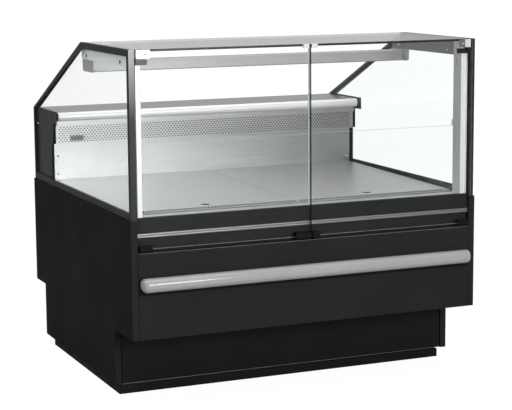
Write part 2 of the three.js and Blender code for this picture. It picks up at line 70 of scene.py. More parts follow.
def spread(made, value, low, high):
    """Noise's usual range, 0.3 to 0.7, spread over low to high."""
    span = made.node_tree.nodes.new("ShaderNodeMapRange")
    span.inputs["From Min"].default_value = 0.3
    span.inputs["From Max"].default_value = 0.7
    span.inputs["To Min"].default_value = low
    span.inputs["To Max"].default_value = high
    made.node_tree.links.new(value, span.inputs["Value"])
    return span.outputs["Result"]


def blended(made, value, first, second):
    """Goes from the first colour to the second as a value goes from 0 to 1."""
    mix = made.node_tree.nodes.new("ShaderNodeMix")
    mix.data_type = "RGBA"
    mix.inputs["A"].default_value = (*first, 1)
    mix.inputs["B"].default_value = (*second, 1)
    made.node_tree.links.new(value, mix.inputs["Factor"])
    return mix.outputs["Result"]


def surface(
    name, colour, roughness, metallic=0.0, fine=0.001, broad=0.15, stretch=(1, 1, 1),
    shade=0.06, rough_span=0.06, relief=0.00002, **constants,
):
    """A finish that varies at two real sizes: shading and gloss at the broad one, and relief at
    the fine one. Constants are shader sockets that are the same all over the surface."""
    made = bpy.data.materials.new(name)
    made.use_nodes = True
    links = made.node_tree.links
    shader = made.node_tree.nodes["Principled BSDF"]
    shader.inputs["Base Color"].default_value = (*colour, 1)
    shader.inputs["Roughness"].default_value = roughness
    shader.inputs["Metallic"].default_value = metallic
    for socket, value in constants.items():
        shader.inputs[socket.replace("_", " ")].default_value = value
    broad_noise = noise_at(made, broad, stretch)
    fine_noise = noise_at(made, fine, stretch, detail=2.0)
    darker = [c * (1 - shade) for c in colour]
    lighter = [min(1.0, c * (1 + shade)) for c in colour]
    tone = blended(made, spread(made, broad_noise, 0, 1), darker, lighter)
    links.new(tone, shader.inputs["Base Color"])
    gloss = made.node_tree.nodes.new("ShaderNodeMath")
    gloss.operation = "ADD"
    links.new(
        spread(made, broad_noise, roughness - rough_span, roughness + rough_span),
        gloss.inputs[0],
    )
    links.new(spread(made, fine_noise, -rough_span / 2, rough_span / 2), gloss.inputs[1])
    links.new(gloss.outputs["Value"], shader.inputs["Roughness"])
    bump = made.node_tree.nodes.new("ShaderNodeBump")
    bump.inputs["Distance"].default_value = relief
    links.new(fine_noise, bump.inputs["Height"])
    links.new(bump.outputs["Normal"], shader.inputs["Normal"])
    return made


def fade_down(made, low, high, dark):
    """Darkens a surface below a height: full dark under low, its own colour over high."""
    nodes, links = made.node_tree.nodes, made.node_tree.links
    shader = nodes["Principled BSDF"]
    own = shader.inputs["Base Color"].links[0].from_socket
    where, split = nodes.new("ShaderNodeTexCoord"), nodes.new("ShaderNodeSeparateXYZ")
    rise = nodes.new("ShaderNodeMapRange")
    rise.inputs["From Min"].default_value = low
    rise.inputs["From Max"].default_value = high
    mix = nodes.new("ShaderNodeMix")
    mix.data_type = "RGBA"
    mix.inputs["A"].default_value = (*dark, 1)
    links.new(where.outputs["Object"], split.inputs["Vector"])
    links.new(split.outputs["Z"], rise.inputs["Value"])
    links.new(rise.outputs["Result"], mix.inputs["Factor"])
    links.new(own, mix.inputs["B"])
    links.new(mix.outputs["Result"], shader.inputs["Base Color"])


def brushed(name, colour, roughness, along, **extra):
    """Metal with brush lines along one axis, 0.3 mm wide and 40 times as long."""
    stretch = [40 if axis == along else 1 for axis in "XYZ"]
    settings = dict(
        metallic=1.0, fine=0.0003, broad=0.006, shade=0.035, rough_span=0.04,
        relief=0.000012,
    )
    return surface(name, colour, roughness, stretch=stretch, **{**settings, **extra})


def pane(name, clear, shine=1.0):
    """Clear glass: what is behind it shows through, tinted by clear, and its faces mirror by
    angle. shine is 1 for plain glass, and less for an anti-reflective coat."""
    index, smear_size, gloss = 1.45, 0.35, 0.02
    made = bpy.data.materials.new(name)
    made.use_nodes = True
    nodes, links = made.node_tree.nodes, made.node_tree.links
    through = nodes.new("ShaderNodeBsdfTransparent")
    through.inputs["Color"].default_value = (*clear, 1)
    mirror = nodes["Principled BSDF"]
    mirror.inputs["Base Color"].default_value = (0.96, 0.98, 0.98, 1)
    mirror.inputs["Metallic"].default_value = 1.0
    smear = noise_at(made, smear_size, detail=4.0)
    links.new(spread(made, smear, gloss, gloss + 0.02), mirror.inputs["Roughness"])
    face = nodes.new("ShaderNodeNewGeometry")
    both_ways = nodes.new("ShaderNodeMapRange")
    both_ways.inputs["To Min"].default_value = index
    both_ways.inputs["To Max"].default_value = 1 / index
    share = nodes.new("ShaderNodeFresnel")
    links.new(face.outputs["Backfacing"], both_ways.inputs["Value"])
    links.new(both_ways.outputs["Result"], share.inputs["IOR"])
    coat = nodes.new("ShaderNodeMath")
    coat.operation = "MULTIPLY"
    coat.inputs[1].default_value = shine
    links.new(share.outputs["Fac"], coat.inputs[0])
    mix = nodes.new("ShaderNodeMixShader")
    links.new(coat.outputs["Value"], mix.inputs["Fac"])
    links.new(through.outputs["BSDF"], mix.inputs[1])
    links.new(mirror.outputs["BSDF"], mix.inputs[2])
    links.new(mix.outputs["Shader"], nodes["Material Output"].inputs["Surface"])
    return made


POWDER = surface(
    "powder_coat_black", (0.02, 0.0205, 0.021), 0.52, fine=0.0011, broad=0.22,
    shade=0.09, rough_span=0.05, relief=0.00004, Specular_IOR_Level=0.1,
)
# Painted shade: a darker, less glossy copy of the black powder coat for the end panels' side faces.
SIDE_POWDER_PAINTED_SHADE = surface(
    "powder_coat_painted_shade_side", (0.0065, 0.0067, 0.0069), 0.52, fine=0.0011, broad=0.22,
    shade=0.12, rough_span=0.05, relief=0.00004, Specular_IOR_Level=0.03,
)
BASE_PAINT = surface(
    "base_paint_black", (0.012, 0.0123, 0.0126), 0.55, fine=0.0015, broad=0.12,
    shade=0.12, relief=0.00005, Specular_IOR_Level=0.1,
)
STEEL = brushed("stainless_brushed_along", (0.54, 0.542, 0.544), 0.36, "X")
DECK_STEEL = brushed("stainless_brushed_across", (0.68, 0.682, 0.684), 0.38, "Y")
TOP_STEEL = brushed("worktop_steel", (0.46, 0.465, 0.465), 0.3, "X")
# Painted highlight: a paler, less metallic copy of the worktop steel for its round nose.
NOSE_STEEL_PAINTED_LIGHT = brushed("worktop_nose_painted_highlight", (0.92, 0.92, 0.92), 0.45, "X", metallic=0.45)
LIP_STEEL = brushed("deck_lip_steel", (0.42, 0.422, 0.424), 0.55, "X", metallic=0.3)
RIM_STEEL = brushed("stainless_rim", (0.62, 0.625, 0.63), 0.38, "X")
TRIM = brushed("trim_aluminium", (0.34, 0.343, 0.346), 0.4, "X", relief=0.00002)
# Lit and shaded copies of the upright's aluminium: the near-white one is painted light for the front, the darker
# one painted shade for the sides.
UPRIGHT = brushed("upright_aluminium", (0.95, 0.95, 0.95), 0.42, "Z", metallic=0.35)
UPRIGHT_PAINTED_SHADE_SIDE = brushed("upright_aluminium_painted_shade_side", (0.58, 0.583, 0.586), 0.42, "Z", metallic=0.35)
RAIL = brushed("rail_aluminium", (0.27, 0.272, 0.274), 0.45, "Y", metallic=0.4)
# Painted light: a near-white copy of the rail aluminium, for the left rail lit through the left glass.
RAIL_PAINTED_LIGHT = brushed("rail_aluminium_painted_light", (0.95, 0.95, 0.95), 0.5, "Y", metallic=0.05)
LAMP_SHELL = brushed("lamp_aluminium", (0.5, 0.5, 0.5), 0.45, "X", metallic=0.6)
ZINC = surface(
    "galvanised_sheet", (0.5, 0.515, 0.52), 0.42, 0.9, fine=0.002, broad=0.014,
    shade=0.16, rough_span=0.1,
)
# Painted reflection: a near-white, mostly diffuse finish for polished parts that mirror the bright studio.
CHROME_PAINTED_REFLECTION = surface(
    "clamp_painted_reflection", (0.95, 0.95, 0.95), 0.22, 0.25, fine=0.0006, broad=0.02,
    shade=0.02, rough_span=0.03, relief=0.000004,
)
POLISHED = surface(
    "polished_steel", (0.88, 0.885, 0.89), 0.09, 1.0, fine=0.0006, broad=0.02,
    shade=0.03, rough_span=0.03, relief=0.000004,
)
SCREW_STEEL = surface(
    "screw_steel", (0.66, 0.665, 0.67), 0.26, 1.0, fine=0.0005, broad=0.004,
    shade=0.08, relief=0.000008,
)
BUMPER = surface(
    "bumper_plastic", (0.44, 0.444, 0.448), 0.15, fine=0.0009, broad=0.3,
    shade=0.025, rough_span=0.04, relief=0.00001, Specular_IOR_Level=0.8,
)
CAP = surface(
    "cap_plastic", (0.26, 0.265, 0.27), 0.42, fine=0.0008, broad=0.04, shade=0.05,
)
NYLON = surface(
    "black_nylon", (0.008, 0.008, 0.0085), 0.42, fine=0.0007, broad=0.03, shade=0.15,
    relief=0.00003, Specular_IOR_Level=0.4,
)
MATT_BLACK = surface(
    "matt_black_plastic", (0.005, 0.005, 0.0052), 0.6, fine=0.0008, broad=0.03,
    shade=0.2, relief=0.00003, Specular_IOR_Level=0.12,
)
RUBBER = surface(
    "black_sealant", (0.011, 0.011, 0.012), 0.62, fine=0.0012, broad=0.03, shade=0.2,
    relief=0.00005, Specular_IOR_Level=0.35,
)
LINER = surface(
    "liner_white", (0.74, 0.74, 0.72), 0.5, fine=0.0015, broad=0.2, shade=0.03,
)
ENAMEL = surface(
    "compressor_enamel", (0.013, 0.014, 0.015), 0.25, fine=0.003, broad=0.05,
    shade=0.15, relief=0.00008, Coat_Weight=0.3,
)
FIN = brushed("fin_aluminium", (0.72, 0.725, 0.73), 0.35, "Z", broad=0.02)
COPPER = surface(
    "copper_tube", (0.72, 0.36, 0.22), 0.3, 1.0, fine=0.0008, broad=0.02, shade=0.12,
)
FAN = surface("fan_moulding", (0.02, 0.021, 0.022), 0.45, fine=0.001, broad=0.03)
GLOSS_BLACK = surface(
    "panel_moulding", (0.014, 0.014, 0.015), 0.3, fine=0.0006, broad=0.03, shade=0.1,
)
KEY = surface("key_rubber", (0.17, 0.175, 0.18), 0.55, fine=0.0007, broad=0.01)
DISPLAY = surface(
    "display_window", (0.02, 0.006, 0.006), 0.08, fine=0.002, broad=0.02,
    rough_span=0.02, relief=0.000002, Coat_Weight=0.6,
)
PRINT = surface(
    "black_glass_print", (0.014, 0.0145, 0.015), 0.3, fine=0.0008, broad=0.12,
    shade=0.08, rough_span=0.04, relief=0.000003, Specular_IOR_Level=0.06,
)
# Partly the print's paler back, partly painted sheen: the grey that the print and sealant show from inside.
PRINT_BACK_AND_PAINTED_SHEEN = surface(
    "print_back_grey_and_painted_sheen", (0.115, 0.117, 0.118), 0.4, fine=0.0008, broad=0.12,
    shade=0.08, rough_span=0.04, relief=0.000003, Specular_IOR_Level=0.06,
)
TINT = (0.995, 0.9997, 0.9995)
CLEAR = pane("clear_glass", TINT, shine=0.12)
UNIT = pane("insulated_glass", TINT, shine=0.08)
UNIT_INNER = pane("insulated_glass_inner", TINT, shine=0.35)
ROOF = pane("roof_glass", (0.985, 0.987, 0.987))
EDGE = surface(
    "glass_edge_dark", (0.02, 0.022, 0.022), 0.3, fine=0.0006, broad=0.02, shade=0.1,
)
SPACER = surface(
    "spacer_bar", (0.1, 0.103, 0.105), 0.4, 0.3, fine=0.0006, broad=0.02, shade=0.1,
)
# Painted sheen: a grey glass edge that fades to dark from 1.24 m down to 1.0 m, for the left side unit's front
# edges.
EDGE_PAINTED_SHEEN = surface(
    "glass_edge_painted_sheen", (0.4, 0.405, 0.41), 0.4, 0.2, fine=0.0006, broad=0.03, shade=0.05,
)
fade_down(EDGE_PAINTED_SHEEN, 1.0, 1.24, (0.02, 0.021, 0.022))
# Painted highlight: a grey copy of the dark glass edge, for edges that catch the light.
EDGE_PAINTED_HIGHLIGHT = surface(
    "glass_edge_painted_highlight", (0.4, 0.42, 0.415), 0.3, fine=0.0006, broad=0.02, shade=0.06,
)
# Painted highlight: a pale glass-edge colour for the line by the left door's meeting edge.
EDGE_PAINTED_LIGHT = surface(
    "glass_edge_painted_light", (0.72, 0.76, 0.75), 0.25, fine=0.0006, broad=0.02, shade=0.06,
)
DIFFUSER = surface(
    "opal_diffuser", (0.92, 0.92, 0.9), 0.4, fine=0.001, broad=0.05, shade=0.02,
    Emission_Color=(1.0, 0.99, 0.96, 1), Emission_Strength=0.8,
)


# ---------- mesh tools ----------

SHARP = math.radians(32)


def finished(name, bm, body, *materials, stands_for=(), slot=None, second=None):
    """Makes a bmesh in the row frame into a piece that rides on a body. Faces for which second
    is true get the second material."""
    bmesh.ops.recalc_face_normals(bm, faces=bm.faces)
    if second:
        for face in bm.faces:
            face.material_index = int(second(face))
    mesh = bpy.data.meshes.new(name)
    bm.to_mesh(mesh)
    bm.free()
    for one in materials:
        mesh.materials.append(one)
    mesh.shade_smooth()
    mesh.set_sharp_from_angle(angle=SHARP)
    piece = bpy.data.objects.new(name, mesh)
    scene.collection.objects.link(piece)
    weighted = piece.modifiers.new("weighted_normals", "WEIGHTED_NORMAL")
    weighted.keep_sharp = True
    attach(piece, body)
    if stands_for:
        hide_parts(*stands_for)
    return piece


def round_edges(bm, width, segments=2, over=SHARP):
    """Rounds every edge that turns by more than an angle."""
    sharp = [
        e for e in bm.edges
        if len(e.link_faces) == 2 and e.calc_face_angle(0) > over
    ]
    bmesh.ops.bevel(
        bm, geom=sharp, offset=width, offset_type="OFFSET", segments=segments,
        profile=0.5, affect="EDGES", clamp_overlap=True,
    )


def body_of_node(node):
    for body, members in frame["record"]["behaviour"]["bodies"].items():
        if node in members:
            return body


def slot_of_node(node):
    for part in frame["record"]["subparts"]:
        if part["node"] == node:
            return part["material_slot"]


def softened(node, finish, width=0.0008, segments=2):
    """Stands in for a CAD node whose shape is right, with its edges rounded as folded or cut
    ones are."""
    bm = bmesh.new()
    bm.from_mesh(frame["nodes"][node].data)
    bmesh.ops.remove_doubles(bm, verts=bm.verts, dist=2e-5)
    bmesh.ops.dissolve_limit(
        bm, angle_limit=math.radians(1.0), verts=bm.verts, edges=bm.edges,
    )
    for face in bm.faces:
        face.material_index = 0
    round_edges(bm, width, segments)
    return finished(
        f"{node}_shaped", bm, body_of_node(node), finish,
        stands_for=[node], slot=slot_of_node(node),
    )


def skin(bm, rings):
    """Joins each ring of points to the next, and closes the two ends."""
    for first, second in zip(rings, rings[1:]):
        for i in range(len(first)):
            j = (i + 1) % len(first)
            bm.faces.new((first[i], first[j], second[j], second[i]))
    bm.faces.new(rings[0])
    bm.faces.new(rings[-1])


def run_x(bm, section, x0, x1):
    """Adds a closed section of (y, z) points, run from x0 to x1."""
    skin(bm, [[bm.verts.new((x, y, z)) for y, z in section] for x in (x0, x1)])


def rectangle(u0, v0, u1, v1):
    return [(u0, v0), (u1, v0), (u1, v1), (u0, v1)]


def cuboid(bm, low, high):
    run_x(bm, rectangle(low[1], low[2], high[1], high[2]), low[0], high[0])


def block(name, body, low, high, finish, soft=0.0, segments=2, **options):
    """A cuboid as a piece. soft is how far its edges are rounded."""
    bm = bmesh.new()
    cuboid(bm, low, high)
    if soft:
        round_edges(bm, soft, segments)
    return finished(name, bm, body, finish, **options)


def circle(u, v, radius, sides=8):
    """Points round a circle, as (u, v)."""
    turns = [2 * math.pi * (k + 0.5) / sides for k in range(sides)]
    return [(u + radius * math.cos(t), v + radius * math.sin(t)) for t in turns]


def rounded(u0, v0, u1, v1, radius, steps=4):
    """A rectangle with round corners, as (u, v) points."""
    corners = [
        (u0 + radius, v0 + radius, 180), (u1 - radius, v0 + radius, 270),
        (u1 - radius, v1 - radius, 0), (u0 + radius, v1 - radius, 90),
    ]
    points = []
    for u, v, start in corners:
        for k in range(steps + 1):
            t = math.radians(start + 90 * k / steps)
            points.append((u + radius * math.cos(t), v + radius * math.sin(t)))
    return points


def plate(bm, outline, holes, near, far, place):
    """Adds a flat sheet from level near to level far, with holes cut right through it.
    place turns (u, v, level) into a point."""
    flat = bmesh.new()
    edges = []
    for loop in [outline, *holes]:
        corners = [flat.verts.new((u, v, 0)) for u, v in loop]
        edges += [flat.edges.new((a, b)) for a, b in zip(corners, corners[1:] + corners[:1])]
    bmesh.ops.triangle_fill(flat, use_beauty=True, edges=edges, normal=(0, 0, 1))
    flat.verts.index_update()
    sides = [
        [bm.verts.new(place(v.co.x, v.co.y, level)) for v in flat.verts]
        for level in (near, far)
    ]
    for face in flat.faces:
        for side in sides:
            bm.faces.new([side[v.index] for v in face.verts])
    for edge in flat.edges:
        if len(edge.link_faces) == 1:
            a, b = (v.index for v in edge.verts)
            bm.faces.new((sides[0][a], sides[0][b], sides[1][b], sides[1][a]))
    flat.free()


def sheet(name, body, outline, holes, near, far, place, *finishes, **options):
    """A flat plate as a piece."""
    bm = bmesh.new()
    plate(bm, outline, holes, near, far, place)
    return finished(name, bm, body, *finishes, **options)


def across_y(u, v, level):
    return (u, level, v)


def turned(bm, profile, at, axis, sides=24):
    """Adds a turned shape: (radius, height) points round an axis that starts at a point."""
    facing = Vector(axis).to_track_quat("Z", "Y").to_matrix()
    rings = []
    for radius, height in profile:
        if radius == 0:
            rings.append([bm.verts.new(Vector(at) + facing @ Vector((0, 0, height)))])
            continue
        rings.append([
            bm.verts.new(Vector(at) + facing @ Vector((
                radius * math.cos(2 * math.pi * k / sides),
                radius * math.sin(2 * math.pi * k / sides),
                height,
            )))
            for k in range(sides)
        ])
    for low, high in zip(rings, rings[1:]):
        for k in range(sides):
            j = (k + 1) % sides
            corners = (
                low[k % len(low)], low[j % len(low)], high[j % len(high)], high[k % len(high)],
            )
            bm.faces.new(list(dict.fromkeys(corners)))
    return rings


def pan_screw(bm, at, axis, radius=0.004):
    """Adds a pan head with a cross recess, standing on a face."""
    rim = turned(bm, [
        (0, -radius * 0.4), (radius * 0.6, -radius * 0.4), (radius * 0.6, 0),
        (radius, 0), (radius, radius * 0.2), (radius * 0.9, radius * 0.45),
        (radius * 0.62, radius * 0.6),
    ], at, axis, sides=16)[-1]
    facing = Vector(axis).to_track_quat("Z", "Y").to_matrix()
    inner = []
    for k in range(16):
        arm = k % 4 == 0
        t = 2 * math.pi * k / 16
        reach = radius * (0.52 if arm else 0.2)
        depth = radius * (0.15 if arm else 0.58)
        inner.append(bm.verts.new(Vector(at) + facing @ Vector((
            reach * math.cos(t), reach * math.sin(t), depth,
        ))))
    floor = bm.verts.new(Vector(at) + facing @ Vector((0, 0, radius * 0.1)))
    for k in range(16):
        j = (k + 1) % 16
        bm.faces.new((rim[k], rim[j], inner[j], inner[k]))
        bm.faces.new((inner[k], inner[j], floor))


def screws(name, body, places):
    """A set of screws as one piece. places are (point, direction, radius)."""
    bm = bmesh.new()
    for at, axis, radius in places:
        pan_screw(bm, at, axis, radius)
    return finished(name, bm, body, SCREW_STEEL)


def pipe(bm, points, radius, sides=10):
    """Adds a tube along a line of points, closed at both ends."""
    rings = []
    for i, point in enumerate(points):
        before, after = points[max(i - 1, 0)], points[min(i + 1, len(points) - 1)]
        facing = (Vector(after) - Vector(before)).to_track_quat("Z", "Y").to_matrix()
        rings.append([
            bm.verts.new(Vector(point) + facing @ Vector((
                radius * math.cos(2 * math.pi * k / sides),
                radius * math.sin(2 * math.pi * k / sides), 0,
            )))
            for k in range(sides)
        ])
    skin(bm, rings)


# ---------- where things are, in metres ----------

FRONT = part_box("lower_front_panel")[0].y
BAND_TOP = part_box("front_band")[1].z
ROOF_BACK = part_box("roof_glass")[1].y
SIDES = {"left": -1, "right": 1}


# ---------- base, plinth and body panels ----------

softened("base_frame", BASE_PAINT, 0.0015)
for node in ("end_panel_left", "end_panel_right"):
    panel = softened(node, SIDE_POWDER_PAINTED_SHADE, 0.0012, 3)
    panel.data.materials.append(POWDER)
    # Side faces take the painted-shade copy of the powder coat, front faces the plain one.
    for polygon in panel.data.polygons:
        polygon.material_index = int(polygon.normal.y < -0.5)
# The kick plate takes the darker base paint as painted shade under the body's overhang.
softened("kick_plate", BASE_PAINT, 0.0006)
for node in ("lower_front_panel", "rear_body_panel", "front_band"):
    softened(node, POWDER, 0.0006)
low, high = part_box("lower_front_panel")
# A thin grey strip along the panel's top edge: a painted highlight line.
block("front_panel_painted_highlight", CASE, (low.x + 0.001, low.y - 0.0004, high.z - 0.0014),
      (high.x - 0.001, low.y + 0.0006, high.z + 0.0001), KEY)
softened("machine_tray", ZINC, 0.0005)
softened("insulated_tub", LINER, 0.003, 3)


def rear_vent():
    """The vent panel: three banks of six slots with round ends, and its screws."""
    low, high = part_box("rear_vent_panel")
    half, slot_high, rise, banks = 0.11, 0.009, 0.024, (-0.39, 0.0, 0.39)
    first = low.z + 0.0374
    slots = [
        rounded(x - half, first + row * rise, x + half, first + row * rise + slot_high,
                slot_high * 0.49)
        for x in banks for row in range(6)
    ]
    sheet("rear_vent_plate", CASE, rectangle(low.x, low.z, high.x, high.z), slots,
          low.y, high.y, across_y, POWDER, stands_for=["rear_vent_panel"], slot="black_panel")
    screws("rear_vent_screws", CASE, [
        ((x, high.y, z), (0, 1, 0), 0.0038)
        for x in (low.x + 0.015, -0.2, 0.2, high.x - 0.015)
        for z in (low.z + 0.014, high.z - 0.014)
    ])


rear_vent()


def trim_strip():
    """Two rounded lands with a shallow groove between them, on a flat back."""
    low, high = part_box("trim_strip")
    tall = high.z - low.z
    section = [(high.y, low.z), (high.y, high.z)]
    for middle in (high.z - tall * 0.26, low.z + tall * 0.26):
        for k in range(7):
            t = math.radians(90 + 30 * k)
            section.append((
                low.y + 0.0026 + 0.0026 * math.cos(t), middle + tall * 0.235 * math.sin(t),
            ))
    bm = bmesh.new()
    run_x(bm, section, low.x, high.x)
    finished("trim_profile", bm, CASE, TRIM, stands_for=["trim_strip"], slot="aluminium")


trim_strip()


def bumper_section(centre_z, back, out, half, scale=1.0, steps=24):
    """The bumper's section: a flat back, two flanks and a round nose with a fine ledge under
    its middle."""
    points = [(back, centre_z - 0.021 * scale), (back, centre_z + 0.021 * scale)]
    middle = back + (out + half - back) * scale
    for k in range(steps + 1):
        t = math.radians(90 + 180 * k / steps)
        reach = (half - (0.0011 if k <= steps * 0.56 else 0)) * scale
        points.append((middle + reach * math.cos(t), centre_z + reach * math.sin(t)))
    return points


def bumper():
    """The bumper, a thin black strip behind it that shows under it as painted shadow, and its domed end caps."""
    dome, fullness = 0.021, 0.75
    low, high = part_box("bumper_bar")
    half = (high.z - low.z) / 2
    shape = ((low.z + high.z) / 2, high.y, low.y, half)
    bm = bmesh.new()
    run_x(bm, bumper_section(*shape), low.x, high.x)
    finished("bumper_extrusion", bm, CASE, BUMPER, stands_for=["bumper_bar"],
             slot="bumper_grey")
    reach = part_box("bumper_cap_right")[1].x + 0.003
    # A black strip a little larger than the bumper: painted shadow under and round it.
    block("bumper_painted_shadow", CASE, (-reach, high.y - 0.004, low.z - 0.014),
          (reach, high.y - 0.0002, high.z - 0.006), MATT_BLACK, soft=0.002)
    for side, sign in SIDES.items():
        cap_low, cap_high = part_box(f"bumper_cap_{side}")
        start, end = sorted((abs(cap_low.x), abs(cap_high.x)))
        bm = bmesh.new()
        rings = [[bm.verts.new((sign * start, y, z)) for y, z in bumper_section(*shape)]]
        for k in range(15):
            t = math.radians(6 * k)
            x = end - dome * (1 - math.sin(t) ** fullness)
            rings.append([
                bm.verts.new((sign * x, y, z))
                for y, z in bumper_section(*shape, scale=max(math.cos(t) ** fullness, 0.1))
            ])
        skin(bm, rings)
        finished(f"bumper_end_{side}", bm, CASE, BUMPER,
                 stands_for=[f"bumper_cap_{side}"], slot="bumper_grey")


bumper()


# ---------- deck, well and rear wall ----------

softened("front_sill", RIM_STEEL, 0.0006)


def deck_plate(side, sign):
    """A deck plate with its edges turned down, a low lip pierced for the return air along its front
    with a black strip behind it as painted shade, and a finger hole with a matt black cup as painted shade."""
    low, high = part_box(f"deck_plate_{side}")
    slope = math.atan2(high.z - low.z - 0.003, high.y - low.y)
    length = (high.y - low.y) / math.cos(slope)
    thick, top = 0.0015, BAND_TOP
    start_x, end_x = 0.0008, max(abs(low.x), abs(high.x))
    hole_pitch, hole_radius, hole_count, first_hole, lip = 0.0128, 0.003, 46, 0.59, 0.0078
    finger_u, finger_v, finger_radius = 0.325, 0.089, 0.017
    tilt = Matrix.Translation((0, low.y, top)) @ Matrix.Rotation(slope, 4, "X")

    def on_deck(u, v, level):
        return tilt @ Vector((sign * u, v, level))

    def on_lip(u, rise, v):
        return on_deck(u, v, rise)

    bm = bmesh.new()
    plate(bm, rectangle(start_x, 0.0015, end_x, length - 0.001),
          [circle(finger_u, finger_v, finger_radius, 36)], 0.0, -thick, on_deck)
    lip_holes = [
        circle(first_hole - hole_pitch * k, 0.0042, hole_radius, 10) for k in range(hole_count)
    ]
    for u0, u1, v0, v1 in (
        (start_x, end_x, 0.0003, 0.0015),
        (start_x, start_x + 0.0009, 0.0015, length - 0.001),
        (end_x - 0.0009, end_x, 0.0015, length - 0.001),
    ):
        plate(bm, rectangle(u0, v0, u1, v1), [], -0.0004, -0.003, on_deck)
    turned_rim = [
        (0.0171, 0.0), (0.0185, 0.0006), (0.0199, 0.0), (0.0199, -0.0004),
        (0.0171, -0.0004), (0.0171, 0.0),
    ]
    centre, upright = on_deck(finger_u, finger_v, 0.0), tilt.to_3x3() @ Vector((0, 0, 1))
    turned(bm, turned_rim, centre, upright, sides=36)
    finished(f"deck_tray_{side}", bm, f"deck_{side}", DECK_STEEL,
             stands_for=[f"deck_plate_{side}"], slot="stainless")
    sheet(f"deck_lip_{side}", f"deck_{side}", rectangle(start_x, 0.0001, end_x, lip), lip_holes,
          0.0003, 0.0012, on_lip, LIP_STEEL, slot="stainless")
    # Painted shade: a matt black strip behind the lip's holes and a matt black cup under the finger hole.
    bm = bmesh.new()
    plate(bm, rectangle(0.006, 0.0006, 0.602, lip - 0.0006), [], 0.0015, 0.0024, on_lip)
    turned(bm, [(0, -0.0052), (0.0186, -0.0052), (0.0186, -0.0016), (0.0171, -0.0016),
                (0.0165, -0.0044), (0, -0.0044)],
           centre, upright, sides=36)
    finished(f"deck_painted_shade_{side}", bm, f"deck_{side}", MATT_BLACK)


for side, sign in SIDES.items():
    deck_plate(side, sign)
softened("rear_wall", STEEL, 0.0005)
wall_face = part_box("rear_wall")[1].y - 0.002
screws("rear_wall_screws", CASE, [
    ((sign * 0.635, wall_face, z), (0, -1, 0), 0.0045)
    for sign in SIDES.values() for z in (0.693, 0.764)
])


def air_grille():
    """A perforated front on a folded duct: staggered round holes, cut right through, with a matt
    black block behind them as painted shade in the duct."""
    low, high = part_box("air_grille")
    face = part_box("temperature_plate")[1].y + 0.0003
    thick, fold = 0.0015, 0.886
    pitch, row_rise, radius = 0.0128, 0.0082, 0.003
    rows, margin, first_row = 8, 0.014, low.z + 0.0075
    holes = []
    for row in range(rows):
        x = low.x + margin + (pitch / 2 if row % 2 else 0.0)
        while x < high.x - margin:
            holes.append(circle(x, first_row + row * row_rise, radius))
            x += pitch
    bm = bmesh.new()
    plate(bm, rectangle(low.x, low.z, high.x, fold), holes, face, face + thick, across_y)
    run_x(bm, [
        (face + thick, low.z), (high.y, low.z), (high.y, low.z + thick),
        (face + thick, low.z + thick),
    ], low.x, high.x)
    run_x(bm, [
        (face + thick, fold), (face + thick, fold + thick), (low.y + thick, fold + thick),
        (low.y + thick, high.z - thick), (high.y, high.z - thick), (high.y, high.z),
        (low.y, high.z), (low.y, fold),
    ], low.x, high.x)
    finished("grille_sheet", bm, CASE, STEEL, stands_for=["air_grille"], slot="stainless")
    # A matt black block behind the holes: painted shade in the duct.
    block("grille_painted_shade", CASE, (low.x + 0.002, face + 0.006, low.z + 0.002),
          (high.x - 0.002, face + 0.012, fold), MATT_BLACK)


air_grille()


def thermometer():
    """A small framed window on the grille, with a plain scale of ticks behind it."""
    low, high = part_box("temperature_plate")
    bm = bmesh.new()
    outline = rounded(low.x, low.z, high.x, high.z, 0.002)
    window = rounded(low.x + 0.004, low.z + 0.004, high.x - 0.004, high.z - 0.004, 0.001)
    plate(bm, outline, [window], low.y, high.y, across_y)
    round_edges(bm, 0.0004)
    finished("thermometer_frame", bm, CASE, CAP, stands_for=["temperature_plate"],
             slot="cap_grey")
    block("thermometer_dial", CASE, (low.x + 0.0041, low.y + 0.0014, low.z + 0.0041),
          (high.x - 0.0041, high.y, high.z - 0.0041), KEY)
    bm = bmesh.new()
    for k in range(11):
        x = low.x + 0.008 + k * 0.0038
        tall = 0.004 if k % 5 == 0 else 0.0024
        cuboid(bm, (x - 0.00025, low.y + 0.0012, low.z + 0.0055),
               (x + 0.00025, low.y + 0.0014, low.z + 0.0055 + tall))
    finished("thermometer_ticks", bm, CASE, NYLON)


thermometer()


def worktop():
    """The worktop: a flat top with a full round nose, paler than the top as a painted highlight."""
    low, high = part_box("worktop")
    radius = (high.z - low.z) / 2
    section = [(high.y, low.z), (high.y, high.z)]
    for k in range(29):
        t = math.radians(90 + 180 * k / 28)
        section.append((
            low.y + radius + radius * math.cos(t), low.z + radius + radius * math.sin(t),
        ))
    bm = bmesh.new()
    run_x(bm, section, low.x, high.x)
    finished("worktop_slab", bm, CASE, TOP_STEEL, NOSE_STEEL_PAINTED_LIGHT, stands_for=["worktop"],
             slot="stainless", second=lambda face: face.calc_center_median().y < low.y + radius)


worktop()

softened("operator_panel", STEEL, 0.0006)
low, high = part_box("operator_panel")
screws("operator_panel_screws", CASE, [
    ((x, high.y, z), (0, 1, 0), 0.0042)
    for x in (low.x + 0.02, -0.21, 0.21, high.x - 0.02)
    for z in (low.z + 0.02, high.z - 0.02)
])


# ---------- glass housing ----------

